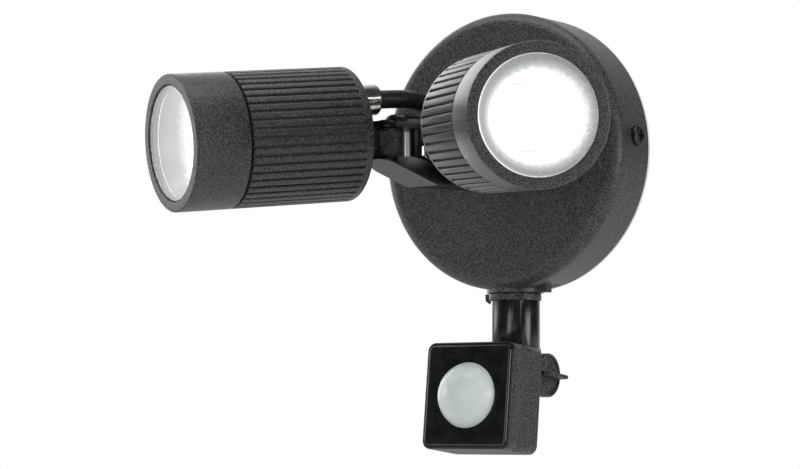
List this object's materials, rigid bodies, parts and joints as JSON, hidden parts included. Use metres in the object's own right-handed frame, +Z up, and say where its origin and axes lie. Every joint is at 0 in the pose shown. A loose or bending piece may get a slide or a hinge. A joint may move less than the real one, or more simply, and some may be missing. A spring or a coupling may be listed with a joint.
{
  "type": "motion sensor security light",
  "caption": "Wall light with a round canopy, two swivelling finned spot heads on a forked arm casting, and a tilting passive infrared sensor on a stem below.",
  "frame": {"origin": "centre of the wall plate at the wall plane", "axes": "+Z up, +Y into the wall, the light faces -Y, +X to the right seen from the front"},
  "size_m": [0.2407, 0.2067, 0.2222],
  "materials": {
    "powder_coat": "textured black powder coat on die-cast aluminium",
    "gloss_paint": "smooth black paint on die-cast aluminium",
    "foam": "closed-cell foam",
    "black_plastic": "moulded, fine texture",
    "gloss_black_plastic": "moulded, polished",
    "black_screw": "blackened",
    "rubber": "matt",
    "white_plastic": "moulded",
    "brass": "turned",
    "zinc": "zinc plated",
    "nickel": "nickel plated",
    "lens_plastic": "milky translucent",
    "board": "solder mask",
    "silicone": "translucent silicone",
    "glass": "clear tempered",
    "reflector": "satin white",
    "optic_plastic": "frosted, dimpled",
    "aluminium": "cast"
  },
  "bodies": {
    "base": {"base_canopy": "powder_coat", "wall_gasket": "foam", "wall_plate": "black_plastic", "canopy_screws": "black_screw", "entry_grommet": "rubber", "terminal_block": "white_plastic", "terminal_screws": "brass", "earth_screw": "brass", "arm_bracket": "gloss_paint", "bracket_screws": "zinc", "pan_pins": "black_screw", "web_bolts": "nickel", "base_glands": "black_plastic", "left_lead": "rubber", "right_lead": "rubber"},
    "sensor_stem": {"sensor_stem": "gloss_black_plastic", "stop_collar": "black_plastic", "stem_nut": "black_plastic"},
    "sensor_head": {"sensor_front": "gloss_black_plastic", "sensor_rear": "black_plastic", "case_seal": "rubber", "dome_lens": "lens_plastic", "circuit_board": "board", "pyro_sensor": "nickel", "case_screws": "zinc", "clamp_nut": "zinc"},
    "thumb_knob": {"thumb_knob": "black_plastic", "clamp_screw": "zinc"},
    "sens_dial": {"sens_dial": "white_plastic"},
    "time_dial": {"time_dial": "white_plastic"},
    "lux_dial": {"lux_dial": "white_plastic"},
    "left_knuckle": {"left_knuckle": "powder_coat"},
    "left_head": {"left_head_body": "powder_coat", "left_front_cap": "powder_coat", "left_glass_seal": "silicone", "left_front_glass": "glass", "left_reflector": "reflector", "left_optic": "optic_plastic", "left_lamp_body": "aluminium", "left_lamp_holder": "white_plastic", "left_head_gland": "nickel", "left_tilt_bolt": "black_screw", "left_tilt_nut": "black_screw"},
    "right_knuckle": {"right_knuckle": "powder_coat"},
    "right_head": {"right_head_body": "powder_coat", "right_front_cap": "powder_coat", "right_glass_seal": "silicone", "right_front_glass": "glass", "right_reflector": "reflector", "right_optic": "optic_plastic", "right_lamp_body": "aluminium", "right_lamp_holder": "white_plastic", "right_head_gland": "nickel", "right_tilt_bolt": "black_screw", "right_tilt_nut": "black_screw"}
  },
  "joints": [
    {"name": "left_pan", "type": "hinge", "parent": "base", "child": "left_knuckle", "pos_m": [-0.026, -0.091, 0], "axis": [0, 0, 1], "range_deg": [-45, 8], "deforming": ["left_lead"]},
    {"name": "left_tilt", "type": "hinge", "parent": "left_knuckle", "child": "left_head", "pos_m": [-0.03294, -0.10373, 0.0005], "axis": [0.878, -0.4787, 0], "range_deg": [-10, 40], "deforming": ["left_lead"]},
    {"name": "right_pan", "type": "hinge", "parent": "base", "child": "right_knuckle", "pos_m": [0.026, -0.091, 0], "axis": [0, 0, 1], "range_deg": [-26, 24], "deforming": ["right_lead"]},
    {"name": "right_tilt", "type": "hinge", "parent": "right_knuckle", "child": "right_head", "pos_m": [0.03662, -0.10087, 0.0005], "axis": [0.6807, 0.7325, 0], "range_deg": [-10, 40], "deforming": ["right_lead"]},
    {"name": "sensor_pan", "type": "hinge", "parent": "base", "child": "sensor_stem", "pos_m": [0, -0.0155, -0.08], "axis": [0, 0, 1], "range_deg": [-55, 55]},
    {"name": "sensor_tilt", "type": "hinge", "parent": "sensor_stem", "child": "sensor_head", "pos_m": [0, -0.0155, -0.1126], "axis": [1, 0, 0], "range_deg": [-8, 35]},
    {"name": "knob_turn", "type": "hinge", "parent": "sensor_head", "child": "thumb_knob", "pos_m": [0, -0.0155, -0.1126], "axis": [1, 0, 0], "range_deg": [0, 180]},
    {"name": "sens_dial_turn", "type": "hinge", "parent": "sensor_head", "child": "sens_dial", "pos_m": [-0.012, -0.03509, -0.13875], "axis": [0, 0.9936, -0.1132], "range_deg": [0, 270]},
    {"name": "time_dial_turn", "type": "hinge", "parent": "sensor_head", "child": "time_dial", "pos_m": [0, -0.03509, -0.13875], "axis": [0, 0.9936, -0.1132], "range_deg": [0, 270]},
    {"name": "lux_dial_turn", "type": "hinge", "parent": "sensor_head", "child": "lux_dial", "pos_m": [0.012, -0.03509, -0.13875], "axis": [0, 0.9936, -0.1132], "range_deg": [0, 270]}
  ]
}
